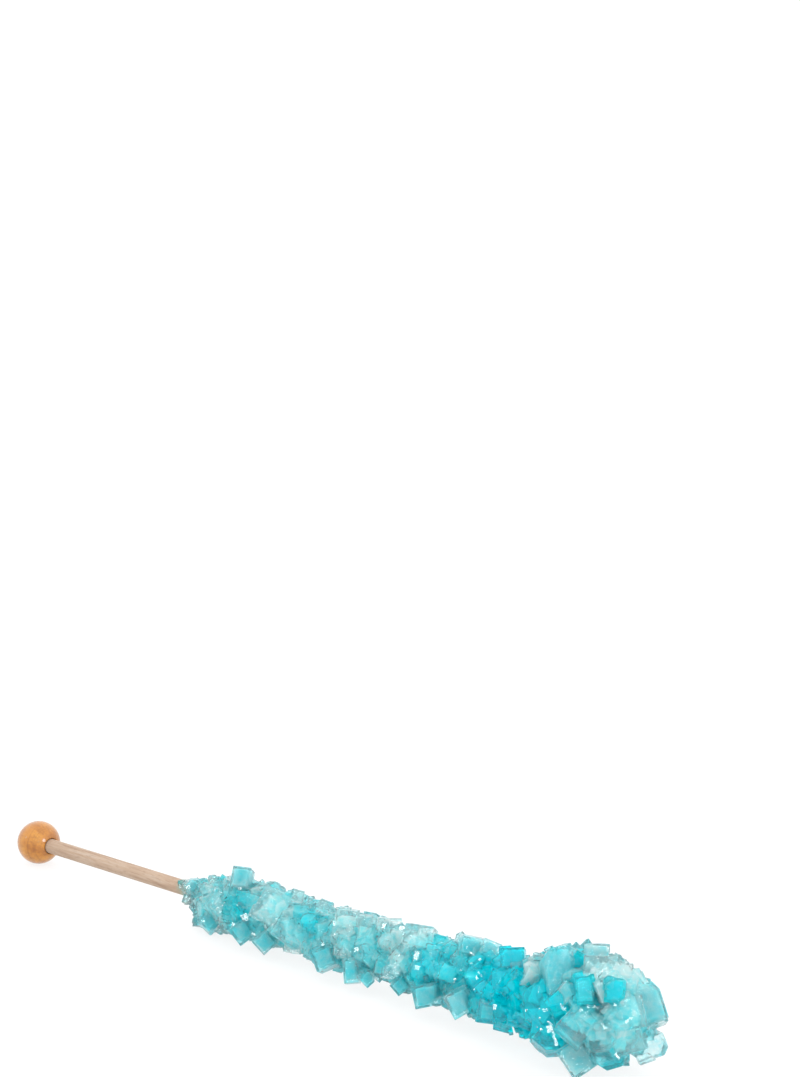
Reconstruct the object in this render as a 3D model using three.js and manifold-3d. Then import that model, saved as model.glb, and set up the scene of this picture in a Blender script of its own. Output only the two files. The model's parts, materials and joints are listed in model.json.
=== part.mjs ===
// Rock candy stick: a turned wooden ball, a thin wooden dowel, and sugar crystals grown
// in one mass round the dowel, slim along the shaft and swelling into a knob past its end.
// Units are millimetres, +Z is up. The stick lies along +X, on its ball and on the lowest
// crystals, with the middle of its footprint at the origin.
//
// Places on the stick are written as station, angle and reach: station is the distance
// along the dowel from the ball's centre, reach the distance out from the dowel's axis,
// and angle the way round it in degrees: 90 is up, 180 the show side, 270 down.

import * as THREE from 'three'
import { mergeVertices } from 'three/addons/utils/BufferGeometryUtils.js'
import Module from 'manifold-3d'

const wasm = await Module()
wasm.setup()

// ---- Driving dimensions ----

const BALL_DIAMETER = 9.5
const BALL_FLAT_DEPTH = 0.08 // the small flat that keeps the ball from rolling
const HOLE_FLARE = 0.3 // how much wider the hole in the ball is at its rim

const DOWEL_DIAMETER = 3.2
const DOWEL_INSET = 2.3 // how far the dowel passes the ball's centre
const DOWEL_LENGTH = 164
const DOWEL_CHAMFER = 0.25
const FIT_GAP = 0.3 // clearance round the dowel, in the ball and in the candy

const STICK_TILT = 1.5 // degrees, rising towards the knob, whose radius is the larger

const KNOB_STATION = 169
const KNOB_RISE = 2.4 // the knob's middle above the dowel's axis
const SHAFT_END = 152 // where the shaft's crystals give way to the knob's

// The smaller crystals, tried at places spread from one station to the other.
const SHAFT_CRYSTALS = { tries: 165, from: 51, to: SHAFT_END, size: [2.3, 4.0], seed: 11 }
const KNOB_CRYSTALS = { tries: 54, from: SHAFT_END, to: 178, size: [3.2, 5.0], seed: 61 }
const CRYSTAL_SPACING = 0.95 // the least distance between two crystals, in their mean size
const FIRST_CRYSTAL_SIZE = 0.45 // next to the bare dowel, as a share of the shaft's sizes
const FULL_SIZE_STATION = 62 // where the shaft's crystals reach their full size
const SUGAR_LEAN = Math.tan(THREE.MathUtils.degToRad(13)) // how far a crystal's side is off square
const CORNER_CUT = 0.3 // of a six-sided crystal, as a share of its smaller side
const SIX_SIDED_SHARE = 0.35
const END_BEVEL = 0.14 // of a large crystal, as a share of its smaller side
const RANDOM_LEAN = 45 // degrees a smaller crystal may lean off its outward direction
const FACING_LEAN = 14 // degrees a large crystal may lean off the show side

// Radius of the mass under the crystals, as [station, radius].
const HEART_PROFILE = [
  [47.5, 2.3],
  [52, 2.6],
  [56, 3.5],
  [61, 4.6],
  [66, 4.9],
  [76, 4.5],
  [92, 4.2],
  [108, 4.4],
  [124, 4.7],
  [138, 5.2],
  [150, 6.3],
  [158, 7.8],
  [166, 8.9],
  [173, 8.1],
  [177.5, 5.0],
  [179, 2.0],
]

// The larger crystals of the show side and its edges, each as
// [station, angle, reach, width along the stick, height across it, depth, turn in degrees].
const LARGE_CRYSTALS = [
  // the first ones past the bare dowel
  [54, 135, 2.9, 2.4, 2.8, 2.4, 20],
  [62, 218, 5.6, 3.8, 3.8, 3.4, 62],
  [69.5, 104, 6.9, 3.9, 4.4, 3.7, 10],
  [73.5, 204, 6.3, 4.2, 4.2, 3.6, 55],
  // a wide pale block and its neighbours
  [81, 134, 4.7, 7.4, 7.0, 4.6, -13],
  [81, 206, 7.0, 3.7, 3.7, 3.4, 60],
  [88, 180, 5.2, 7.4, 4.4, 3.8, -16],
  [85.5, 97, 6.2, 2.1, 2.3, 2.4, 5],
  [89, 206, 6.4, 3.2, 1.9, 2.6, 10],
  [94, 101, 5.8, 2.8, 2.6, 2.8, -5],
  // blocks along the middle
  [99, 203, 6.6, 4.4, 4.5, 3.6, 40],
  [101, 108, 5.6, 4.3, 3.4, 3.4, 10],
  [107, 116, 5.4, 2.7, 4.6, 3.0, 15],
  [107, 206, 7.2, 3.0, 5.2, 3.2, 22],
  [110.5, 96, 6.0, 2.3, 2.3, 2.6, 12],
  [111, 213, 7.2, 2.7, 2.7, 2.8, 60],
  [113.5, 92, 5.9, 2.4, 2.9, 2.6, 17],
  [118, 188, 6.3, 3.2, 2.8, 3.2, 5],
  [120, 212, 6.6, 2.8, 2.8, 2.8, 58],
  [121, 100, 5.7, 6.0, 4.2, 4.2, 8],
  [128.5, 206, 7.4, 6.0, 4.4, 4.2, -10],
  // blocks and shards before the knob
  [135, 97, 6.9, 4.6, 3.9, 3.0, 6],
  [138.5, 82, 6.8, 3.7, 3.0, 3.2, -5],
  [137.5, 201, 7.3, 6.5, 5.2, 4.6, 20],
  [146, 195, 7.8, 3.6, 4.0, 3.6, 10],
  [147, 101, 7.2, 4.7, 4.2, 3.8, 18],
  [151, 103, 7.0, 6.2, 2.6, 2.8, 25],
  // the knob: top, show side, end and underside
  [162, 116, 9.6, 6.9, 8.6, 6.4, 24],
  [165.9, 82, 11.9, 4.7, 3.4, 4.0, 14],
  [169.5, 106, 11.0, 3.6, 5.2, 4.4, 14],
  [172.3, 98, 10.8, 3.6, 5.2, 4.4, 26],
  [174.4, 90, 9.4, 3.4, 5.2, 4.4, 40],
  [171.2, 133, 10.8, 3.5, 5.2, 4.6, 22],
  [176.1, 118, 9.2, 3.9, 4.6, 4.6, 12],
  [174.2, 127, 10.2, 1.9, 4.8, 3.2, 40],
  [176.0, 76, 8.4, 3.8, 5.2, 4.4, 47],
  [177.8, 60, 4.4, 5.2, 7.4, 5.6, 33],
  [178.4, 120, 4.8, 4.4, 6.0, 4.4, 28],
  [178.0, 146, 7.0, 5.4, 4.6, 4.4, 20],
  [178.8, 188, 3.6, 5.4, 4.4, 4.6, 30],
  [177.0, 312, 6.2, 5.8, 4.0, 5.0, 38],
  [175.4, 221, 6.6, 6.0, 3.8, 5.0, 34],
  [171.4, 171, 10.0, 5.6, 5.8, 5.2, 62],
  [175.4, 176, 8.0, 5.2, 5.4, 5.0, 24],
  [169.0, 218, 9.0, 5.6, 6.4, 5.4, 50],
  [163.2, 203, 8.6, 5.2, 5.6, 4.6, -22],
  [160.0, 156, 8.2, 6.4, 6.8, 5.0, 10],
]

// The show side is where the stick is seen from at its best: beside it, past the knob's
// end and a little above.
const SHOW_SIDE = new THREE.Vector3(0.66, -0.67, 0.33).normalize()

// ---- Shared helpers ----

const rad = THREE.MathUtils.degToRad
const ballRadius = BALL_DIAMETER / 2
const dowelRadius = DOWEL_DIAMETER / 2
const ballHeight = ballRadius - BALL_FLAT_DEPTH

// A linear congruential generator, so the same crystals grow every time.
function seededRandom(seed) {
  let state = seed
  return () => {
    state = (state * 1664525 + 1013904223) % 4294967296
    return state / 4294967296
  }
}

// A random angle in radians, up to the limit in degrees either way.
function spreadAngle(limit, random) {
  return rad(limit) * (2 * random() - 1)
}

// Turns a closed geometry into a solid that can be joined and cut.
function solidOf(geometry) {
  const shape = geometry.clone()
  shape.deleteAttribute('normal')
  shape.deleteAttribute('uv')
  const merged = mergeVertices(shape, 1e-4)
  const vertProperties = merged.attributes.position.array
  const triVerts = new Uint32Array(merged.index.array)
  return new wasm.Manifold(new wasm.Mesh({ numProp: 3, vertProperties, triVerts }))
}

// Turns a solid back into a geometry, with flat faces.
function geometryOf(solid) {
  const { numProp, vertProperties, triVerts } = solid.getMesh()
  const geometry = new THREE.BufferGeometry()
  geometry.setAttribute('position', new THREE.BufferAttribute(vertProperties, numProp))
  geometry.setIndex(new THREE.BufferAttribute(triVerts, 1))
  const flat = geometry.toNonIndexed()
  flat.computeVertexNormals()
  return flat
}

// Spins a profile of [station, radius] points round the stick's axis.
function turned(profile, sides) {
  const points = profile.map(([station, radius]) => new THREE.Vector2(radius, station))
  return new THREE.LatheGeometry(points, sides).rotateZ(-Math.PI / 2)
}

// A point on the stick, from its station, angle and reach.
function placeOnStick(station, angle, reach) {
  const turn = rad(angle)
  return new THREE.Vector3(station, reach * Math.cos(turn), reach * Math.sin(turn))
}

// Everything below the surface that the stick lies on, seen from the tilted stick.
function groundBlock() {
  const depth = 20
  const ground = new THREE.BoxGeometry(500, 100, depth)
  ground.translate(0, 0, -ballHeight - depth / 2)
  return solidOf(ground.rotateY(rad(STICK_TILT)))
}

// ---- Ball ----

function ballGeometry() {
  const holeRadius = dowelRadius + FIT_GAP
  const rimRadius = holeRadius + HOLE_FLARE
  const holeEnd = -DOWEL_INSET - FIT_GAP
  const rimAngle = Math.asin(rimRadius / ballRadius)
  const rimStation = ballRadius * Math.cos(rimAngle)
  const arcSteps = 15
  const profile = []
  for (let step = 0; step < arcSteps; step++) {
    const turn = Math.PI + (rimAngle - Math.PI) * (step / arcSteps)
    profile.push([ballRadius * Math.cos(turn), step === 0 ? 0 : ballRadius * Math.sin(turn)])
  }
  profile.push([rimStation, rimRadius])
  profile.push([rimStation - HOLE_FLARE, holeRadius])
  profile.push([holeEnd, holeRadius])
  profile.push([holeEnd, 0])
  return geometryOf(solidOf(turned(profile, 28)).subtract(groundBlock()))
}

// ---- Dowel ----

function dowelGeometry() {
  const start = -DOWEL_INSET
  const end = start + DOWEL_LENGTH
  const profile = [
    [start, 0],
    [start, dowelRadius - DOWEL_CHAMFER],
    [start + DOWEL_CHAMFER, dowelRadius],
    [end - DOWEL_CHAMFER, dowelRadius],
    [end, dowelRadius - DOWEL_CHAMFER],
    [end, 0],
  ]
  return turned(profile, 24)
}

// ---- Candy ----

// Radius of the mass under the crystals at a station, before its lumps.
function heartRadius(station) {
  const last = HEART_PROFILE.length - 1
  if (station <= HEART_PROFILE[0][0]) return HEART_PROFILE[0][1]
  if (station >= HEART_PROFILE[last][0]) return HEART_PROFILE[last][1]
  const next = HEART_PROFILE.findIndex(([stop]) => stop > station)
  const [stationA, radiusA] = HEART_PROFILE[next - 1]
  const [stationB, radiusB] = HEART_PROFILE[next]
  return THREE.MathUtils.mapLinear(station, stationA, stationB, radiusA, radiusB)
}

// How far the mass rises above the dowel's axis: none on the shaft, KNOB_RISE in the knob.
function heartRise(station) {
  return KNOB_RISE * THREE.MathUtils.smoothstep(station, SHAFT_END - 8, KNOB_STATION - 4)
}

// Slow swells along and round the mass, as a share of its radius.
function lumps(station, angle) {
  const turn = rad(angle)
  const long = Math.sin(0.31 * station + 2 * turn)
  const short = Math.sin(0.83 * station - 3 * turn)
  return 1 + 0.07 * long + 0.05 * short
}

// A point of the mass's surface.
function placeOnHeart(station, angle) {
  const place = placeOnStick(station, angle, heartRadius(station) * lumps(station, angle))
  place.z += heartRise(station)
  return place
}

function heartGeometry() {
  const first = HEART_PROFILE[0][0]
  const last = HEART_PROFILE[HEART_PROFILE.length - 1][0]
  const rings = 26
  const profile = [[first, 0]]
  for (let ring = 0; ring <= rings; ring++) {
    const station = first + ((last - first) * ring) / rings
    profile.push([station, heartRadius(station)])
  }
  profile.push([last, 0])
  const geometry = turned(profile, 10)
  const vertices = geometry.attributes.position
  for (let index = 0; index < vertices.count; index++) {
    const station = vertices.getX(index)
    const y = vertices.getY(index)
    const z = vertices.getZ(index)
    const swell = lumps(station, THREE.MathUtils.radToDeg(Math.atan2(z, y)))
    vertices.setXYZ(index, station, y * swell, z * swell + heartRise(station))
  }
  return geometry
}

// One crystal: a block, or a six-sided tablet with two corners cut, with bevelled ends
// where endBevel isn't 0.
function crystalGeometry(width, height, depth, sixSided, endBevel) {
  const x = width / 2
  const y = height / 2
  const cut = sixSided ? CORNER_CUT * Math.min(width, height) : 0
  const outline = new THREE.Shape()
  outline.moveTo(-x, -y)
  outline.lineTo(x - cut, -y)
  if (sixSided) outline.lineTo(x, -y + cut)
  outline.lineTo(x, y)
  outline.lineTo(-x + cut, y)
  if (sixSided) outline.lineTo(-x, y - cut)
  outline.closePath()
  const geometry = new THREE.ExtrudeGeometry(outline, {
    depth: depth - 2 * endBevel,
    bevelEnabled: endBevel > 0,
    bevelSegments: 1,
    bevelSize: endBevel,
    bevelThickness: endBevel,
    bevelOffset: -endBevel,
  })
  return geometry.translate(0, 0, endBevel - depth / 2)
}

// Crystals are smaller where the candy begins, as a share of their full size.
function sizeTaper(station) {
  const grown = (station - SHAFT_CRYSTALS.from) / (FULL_SIZE_STATION - SHAFT_CRYSTALS.from)
  return THREE.MathUtils.lerp(FIRST_CRYSTAL_SIZE, 1, Math.min(grown, 1))
}

// The large crystals face the show side, each turned in that plane by its own angle.
function largeCrystals() {
  const facing = new THREE.Matrix4()
  const across = SHOW_SIDE.clone()
  const along = new THREE.Vector3(1, 0, 0).addScaledVector(across, -across.x).normalize()
  facing.makeBasis(along, across.clone().cross(along), across)
  const random = seededRandom(7)
  return LARGE_CRYSTALS.map(([station, angle, reach, width, height, depth, turn]) => {
    const sixSided = random() < SIX_SIDED_SHARE
    const endBevel = END_BEVEL * Math.min(width, height)
    const geometry = crystalGeometry(width, height, depth, sixSided, endBevel)
    geometry.rotateX(spreadAngle(FACING_LEAN, random))
    geometry.rotateY(spreadAngle(FACING_LEAN, random))
    geometry.rotateZ(rad(turn))
    geometry.applyMatrix4(facing)
    const place = placeOnStick(station, angle, reach)
    return geometry.translate(place.x, place.y, place.z)
  })
}

// The other crystals are spread over the mass on a golden-angle spiral, and one that
// would crowd a crystal already there is left out. Each stands roughly outward from the
// dowel, or in the knob from the knob's middle, with a random turn and lean.
function spreadCrystals({ tries, from, to, size, seed }, taken) {
  const goldenAngle = 180 * (3 - Math.sqrt(5))
  const knobMiddle = new THREE.Vector3(KNOB_STATION, 0, KNOB_RISE)
  const random = seededRandom(seed)
  const crystals = []
  for (let index = 0; index < tries; index++) {
    const station = from + ((to - from) * (index + random())) / tries
    const angle = index * goldenAngle + 20 * random()
    const width = sizeTaper(station) * THREE.MathUtils.lerp(size[0], size[1], random() ** 1.5)
    const height = width * THREE.MathUtils.lerp(0.75, 1.25, random())
    const depth = width * THREE.MathUtils.lerp(0.8, 1.3, random())
    const sixSided = random() < SIX_SIDED_SHARE
    const turn = spreadAngle(180, random)
    const leanX = spreadAngle(RANDOM_LEAN, random)
    const leanY = spreadAngle(RANDOM_LEAN, random)
    const place = placeOnHeart(station, angle)
    const reachesInto = (other) => {
      return place.distanceTo(other.place) < (CRYSTAL_SPACING * (width + other.width)) / 2
    }
    if (taken.some(reachesInto)) continue
    taken.push({ place, width })
    const middle = station > SHAFT_END ? knobMiddle : new THREE.Vector3(station, 0, 0)
    const outward = place.clone().sub(middle).normalize()
    const stand = new THREE.Quaternion().setFromUnitVectors(new THREE.Vector3(0, 0, 1), outward)
    const geometry = crystalGeometry(width, height, depth, sixSided, 0)
    geometry.applyMatrix4(new THREE.Matrix4().makeShear(0, 0, 0, 0, SUGAR_LEAN, 0))
    geometry.rotateZ(turn).rotateX(leanX).rotateY(leanY).applyQuaternion(stand)
    crystals.push(geometry.translate(place.x, place.y, place.z))
  }
  return crystals
}

function boreGeometry() {
  const radius = dowelRadius + FIT_GAP
  const end = DOWEL_LENGTH - DOWEL_INSET + FIT_GAP
  const profile = [
    [0, 0],
    [0, radius],
    [end, radius],
    [end, 0],
  ]
  return turned(profile, 16)
}

function candyGeometry() {
  const taken = LARGE_CRYSTALS.map(([station, angle, reach, width]) => {
    return { place: placeOnStick(station, angle, reach), width }
  })
  const crystals = [
    ...largeCrystals(),
    ...spreadCrystals(SHAFT_CRYSTALS, taken),
    ...spreadCrystals(KNOB_CRYSTALS, taken),
  ]
  const grown = wasm.Manifold.union([heartGeometry(), ...crystals].map(solidOf))
  const trimmed = grown.subtract(solidOf(boreGeometry())).subtract(groundBlock())
  const bodies = trimmed.decompose()
  const whole = bodies.reduce((a, b) => (a.volume() > b.volume() ? a : b))
  return geometryOf(whole)
}

// ---- The part ----

const varnishedWood = new THREE.MeshStandardMaterial({ color: 0xc98a4b, roughness: 0.25 })
const rawWood = new THREE.MeshStandardMaterial({ color: 0xe0bd98, roughness: 0.7 })
const sugar = new THREE.MeshStandardMaterial({ color: 0x6fcdd6, roughness: 0.15 })

const ball = new THREE.Mesh(ballGeometry(), varnishedWood)
ball.name = 'ball'

const dowel = new THREE.Mesh(dowelGeometry(), rawWood)
dowel.name = 'dowel'

const candy = new THREE.Mesh(candyGeometry(), sugar)
candy.name = 'candy'

const stick = new THREE.Group()
stick.add(ball, dowel, candy)
stick.rotation.y = -rad(STICK_TILT)
stick.position.z = ballHeight

const group = new THREE.Group()
group.add(stick)
const footprint = new THREE.Box3().setFromObject(group, true).getCenter(new THREE.Vector3())
group.position.set(-footprint.x, -footprint.y, 0)

export default group
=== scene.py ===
"""A rock candy stick: aqua sugar crystals grown round a raw birch dowel with a varnished ball.

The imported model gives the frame, and its three solids are replaced by finer ones of the same
form. Sizes are in millimetres until a mesh is made. A place on the stick is written as
station, angle and reach: station is the distance along the dowel from the ball's centre,
angle the way round the dowel's axis in degrees (90 is up, 180 the show side, 270 down), and
reach the distance out from that axis.
"""

import json
import math
import bmesh
import bpy
from mathutils import Matrix, Vector

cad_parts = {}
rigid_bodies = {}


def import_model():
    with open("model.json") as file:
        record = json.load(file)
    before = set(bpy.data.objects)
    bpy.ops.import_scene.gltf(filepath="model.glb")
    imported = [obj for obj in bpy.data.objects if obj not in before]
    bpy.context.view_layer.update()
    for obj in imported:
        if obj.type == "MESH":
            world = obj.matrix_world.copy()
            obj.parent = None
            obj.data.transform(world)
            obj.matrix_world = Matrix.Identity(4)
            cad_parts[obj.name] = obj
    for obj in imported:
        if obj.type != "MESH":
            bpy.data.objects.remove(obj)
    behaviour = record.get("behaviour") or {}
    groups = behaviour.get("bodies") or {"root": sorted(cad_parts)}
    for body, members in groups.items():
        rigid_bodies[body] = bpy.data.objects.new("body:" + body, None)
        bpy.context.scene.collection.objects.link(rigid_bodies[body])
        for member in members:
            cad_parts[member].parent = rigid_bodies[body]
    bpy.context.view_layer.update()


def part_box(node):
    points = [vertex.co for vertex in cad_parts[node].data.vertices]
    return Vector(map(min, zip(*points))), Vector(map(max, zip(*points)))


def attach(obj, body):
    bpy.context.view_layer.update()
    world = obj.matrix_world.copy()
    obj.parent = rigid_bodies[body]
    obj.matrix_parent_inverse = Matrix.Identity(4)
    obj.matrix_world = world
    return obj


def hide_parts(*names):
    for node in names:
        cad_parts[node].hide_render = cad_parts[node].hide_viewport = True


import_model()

# ---- The ball and the dowel ----

MM = 0.001

BALL_DIAMETER = 9.5
BALL_HOLE_DEPTH = 2.6  # past the ball's centre
HOLE_GAP = 0.1  # between the dowel and the wall of the hole
HOLE_FLARE = 0.2  # by which the hole widens at its rim

DOWEL_DIAMETER = 3.2
DOWEL_INSET = 2.3  # past the ball's centre
DOWEL_LENGTH = 164
DOWEL_CHAMFER = 0.25
SOAKED_STATION = 49.5  # from here on it is stained by the sugar

STICK_TILT = 1.5  # degrees that the dowel rises toward the knob

# How finely the round forms are cut.
BALL_RINGS = 56
BALL_SIDES = 96
RIM_RINGS = 4
DOWEL_RINGS = 60
DOWEL_SIDES = 48
MASS_RINGS = 60
MASS_SIDES = 28

# ---- The mass of sugar under the crystals ----

COLLAR_START = 48  # where the mass begins on its foremost side
COLLAR_END = 62  # from here on it no longer slants
COLLAR_ANGLE = 108  # its foremost side
COLLAR_SLANT = 4.2  # half of how much later it begins on the far side
COLLAR_DROOP = 1.0  # how far it sags just past its start
DROOP_GROWS = (52, 57)  # stations with none and all of the sag
DROOP_FADES = (72, 62)  # the same, past it
SHAFT_END = 152
KNOB_STATION = 169
KNOB_RISE = 2.4  # of the knob's middle above the axis
RISE_GROWS = (SHAFT_END - 8, KNOB_STATION - 4)  # stations with none and all of the rise

# Radius of the mass, as (station, radius).
MASS_PROFILE = (
    (COLLAR_START, 1.8),
    (51, 2.5),
    (56, 3.5),
    (61, 4.6),
    (66, 4.9),
    (76, 4.5),
    (92, 4.2),
    (108, 4.4),
    (124, 4.7),
    (138, 5.2),
    (150, 6.3),
    (158, 7.8),
    (166, 8.9),
    (173, 8.1),
    (177.5, 5.0),
    (179, 2.0),
)
# Waves on the mass: their height as a share of its radius, their turn in radians for each
# millimetre along it, and how many there are round it.
LONG_WAVE = {"height": 0.07, "pace": 0.31, "lobes": 2}
SHORT_WAVE = {"height": 0.05, "pace": 0.83, "lobes": -3}

HEART_START = 50  # where the milky inside begins
HEART_SHARE = 0.8  # its radius, as a share of the mass's

# ---- The crystals ----

# A crystal's calm is how smooth its faces are: 0 is the roughest, 2 nearly a mirror.
CORNER_CUT = 0.3  # off two corners of a six-sided tablet, as a share of its smaller side
SIX_SIDED_SHARE = 0.35
EDGE_WEAR = 0.02  # chamfer of a crystal's edges, as a share of its smallest side
CLOUD_WEAR = 0.06  # the same for the milky insides, whose edges look softer
FACET_DEPTH = (0.12, 0.42)  # of a slanting facet, from the corner it takes off, in smallest sides
FACET_TURN = (0.15, 1)  # least and greatest part of each axis in a facet's direction
BROAD_FACE = 20  # square millimetres: from here on a large crystal has BROAD_FACETS
BROAD_FACETS = 3
KNOB_FACETS = 2  # on the knob's other large crystals, where the shaft's have none
SPREAD_FACETS = 3  # at most
TERRACE_FACETS = 2
SUGAR_LEAN = math.tan(math.radians(13))  # slope of a spread crystal's slanting sides

# Crystals spread over the mass: how many places are tried, between which stations, the least
# and greatest width, how far out of the mass their middles stand, how far apart they stay in
# crystal widths (at 0 they crowd), the wear of their edges, their calm, and their own seed.
LARGER = {"lift": (0, 0), "spacing": 0.95, "wear": EDGE_WEAR, "calm": 0.7}
FINER = {"spacing": 0, "wear": 0, "calm": 0}
SHAFT_CRYSTALS = {
    **LARGER, "tries": 165, "start": 51, "end": SHAFT_END, "size": (2.3, 4.0), "seed": 11
}
KNOB_CRYSTALS = {
    **LARGER, "tries": 54, "start": SHAFT_END, "end": 178, "size": (3.2, 5.0), "seed": 61
}
# The fine crystals between the others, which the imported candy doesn't have.
FINE_SHAFT_CRYSTALS = {
    **FINER, "tries": 2400, "start": 52, "end": 156, "size": (0.5, 1.7), "lift": (-0.4, 0.6), "seed": 5
}
FINE_KNOB_CRYSTALS = {
    **FINER, "tries": 260, "start": 150, "end": 178.6, "size": (1.0, 2.6), "lift": (-0.6, 0.6), "seed": 17
}
# The crystals that roughen the milky inside, each with a clear skin round it.
CORE_CRYSTALS = {
    **FINER, "tries": 1300, "start": 54, "end": 178, "size": (1.2, 3.2), "lift": (-1.3, -0.6), "seed": 29
}
SKIN_SWELL = 1.12

FIRST_CRYSTAL_SIZE = 0.45  # of full size, where the sugar begins
FULL_SIZE_STATION = 62
SIZE_POWER = 1.5  # above 1 it makes the smaller widths more common
HEIGHT_SHARE = (0.75, 1.25)  # of the width
DEPTH_SHARE = (0.8, 1.3)
ANGLE_SCATTER = 20  # degrees
RANDOM_LEAN = 45  # degrees that a spread crystal leans from standing straight out, at most
FACING_LEAN = 14  # degrees that a large one leans from facing the viewer, at most

# Nearly parallel neighbours that step out of other crystals' corners: how many for each,
# their size as a share of its own, and how many degrees they lean.
SPREAD_TERRACES = {"count": 5, "share": (0.25, 0.6), "lean": 16, "seed": 43}
LARGE_TERRACES = {"count": 1, "share": (0.35, 0.7), "lean": 4, "seed": 41}
TERRACE_STEP = (0.12, 0.34)  # how far they stand out

# Seeds of the other draws.
LARGE_LEAN_SEED = 7
LARGE_FACET_SEED = 23
FORM_SEED = 31
CRUMB_SEED = 67
MASS_TINT_SEED = 3

# The larger crystals of the show side and its edges, each as
# (station, angle, reach, width along the stick, height across it, depth, turn in degrees, tint,
# share of its size that is milky inside).
LARGE_CRYSTALS = (
    # the first ones past the bare dowel
    (54, 135, 2.9, 2.4, 2.8, 2.4, 20, 0.3, 0.7),
    (62, 218, 5.6, 3.8, 3.8, 3.4, 62, 0.5, 0.7),
    (69.5, 104, 6.9, 3.9, 4.4, 3.7, 10, 0.35, 0.8),
    (73.5, 204, 6.3, 4.2, 4.2, 3.6, 55, 0.5, 0.7),
    # a wide pale block and its neighbours
    (81, 134, 4.7, 7.4, 7.0, 4.6, -13, 0.2, 0),
    (81, 206, 7.0, 3.7, 3.7, 3.4, 60, 0.45, 0.75),
    (88, 180, 5.2, 7.4, 4.4, 3.8, -16, 0.42, 0),
    (85.5, 97, 6.2, 2.1, 2.3, 2.4, 5, 0.15, 0),
    (89, 206, 6.4, 3.2, 1.9, 2.6, 10, 0.0, 0),
    (94, 101, 5.8, 2.8, 2.6, 2.8, -5, 0.2, 0),
    # blocks along the middle
    (99, 203, 6.6, 4.4, 4.5, 3.6, 40, 0.5, 0.7),
    (101, 108, 5.6, 4.3, 3.4, 3.4, 10, 0.15, 0),
    (107, 116, 5.4, 2.7, 4.6, 3.0, 15, 0.2, 0),
    (107, 206, 7.2, 3.0, 5.2, 3.2, 22, 0.5, 0.7),
    (110.5, 96, 6.0, 2.3, 2.3, 2.6, 12, 0.1, 0),
    (111, 213, 7.2, 2.7, 2.7, 2.8, 60, 0.55, 0.7),
    (113.5, 92, 5.9, 2.4, 2.9, 2.6, 17, 0.1, 0),
    (118, 188, 6.3, 3.2, 2.8, 3.2, 5, 0.35, 0),
    (120, 212, 6.6, 2.8, 2.8, 2.8, 58, 0.6, 0.7),
    (121, 100, 5.7, 6.0, 4.2, 4.2, 8, 0.3, 0),
    (128.5, 206, 7.0, 5.4, 4.4, 4.2, 28, 0.5, 0.75),
    # blocks and shards before the knob
    (135, 97, 6.9, 4.6, 3.9, 3.0, 6, 0.4, 0.7),
    (138.5, 82, 6.8, 3.7, 3.0, 3.2, -5, 0.35, 0.7),
    (137.5, 201, 7.0, 5.0, 5.0, 4.6, 47, 0.4, 0.75),
    (146, 195, 7.8, 3.6, 4.0, 3.6, 10, 0.55, 0.6),
    (147, 101, 7.2, 4.7, 4.2, 3.8, 18, 1.0, 0.75),
    (151, 103, 7.0, 6.2, 2.2, 2.8, 25, 0.3, 0),
    # the knob: top, show side, end and underside
    (161.6, 118, 9.6, 5.6, 9.0, 6.0, 26, 0.5, 0.85),
    (165.9, 82, 11.9, 4.7, 3.4, 4.0, 14, 0.2, 0.8),
    (169.5, 106, 11.0, 3.6, 5.2, 4.4, 14, 0.15, 0),
    (172.3, 98, 10.8, 3.6, 5.2, 4.4, 26, 0.15, 0),
    (174.4, 90, 9.4, 3.4, 5.2, 4.4, 40, 0.2, 0),
    (171.2, 133, 10.8, 3.5, 5.2, 4.6, 22, 1.1, 0.75),
    (176.1, 118, 9.2, 3.9, 4.6, 4.6, 12, 1.0, 0.75),
    (174.2, 127, 10.2, 1.9, 4.8, 3.2, 40, 0.05, 0.75),
    (176.0, 76, 8.4, 3.8, 5.2, 4.4, 47, 0.12, 0),
    (178.0, 60, 4.8, 5.6, 7.4, 5.6, 33, 0.35, 0.85),
    (178.4, 120, 4.8, 4.4, 6.0, 4.4, 28, 0.15, 0),
    (178.0, 146, 7.0, 5.4, 4.6, 4.4, 20, 0.5, 0),
    (178.8, 188, 3.6, 5.4, 4.4, 4.6, 30, 0.25, 0),
    (177.0, 312, 6.2, 5.8, 4.0, 5.0, 38, 0.35, 0),
    (175.4, 221, 6.6, 6.0, 3.8, 5.0, 34, 0.7, 0),
    (171.4, 171, 10.0, 5.6, 5.8, 5.2, 62, 0.45, 0),
    (175.4, 176, 8.0, 5.2, 5.4, 5.0, 24, 0.4, 0),
    (169.0, 218, 9.0, 5.6, 6.4, 5.4, 50, 0.35, 0.82),
    (163.2, 203, 8.6, 5.2, 5.6, 4.6, -22, 0.9, 0),
    (160.0, 156, 8.2, 6.4, 6.8, 5.0, 10, 1.3, 0),
    # the darker facet behind the knob's first block
    (163.8, 98, 9.6, 4.6, 5.2, 4.6, -14, 1.05, 0.7),
)

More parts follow.
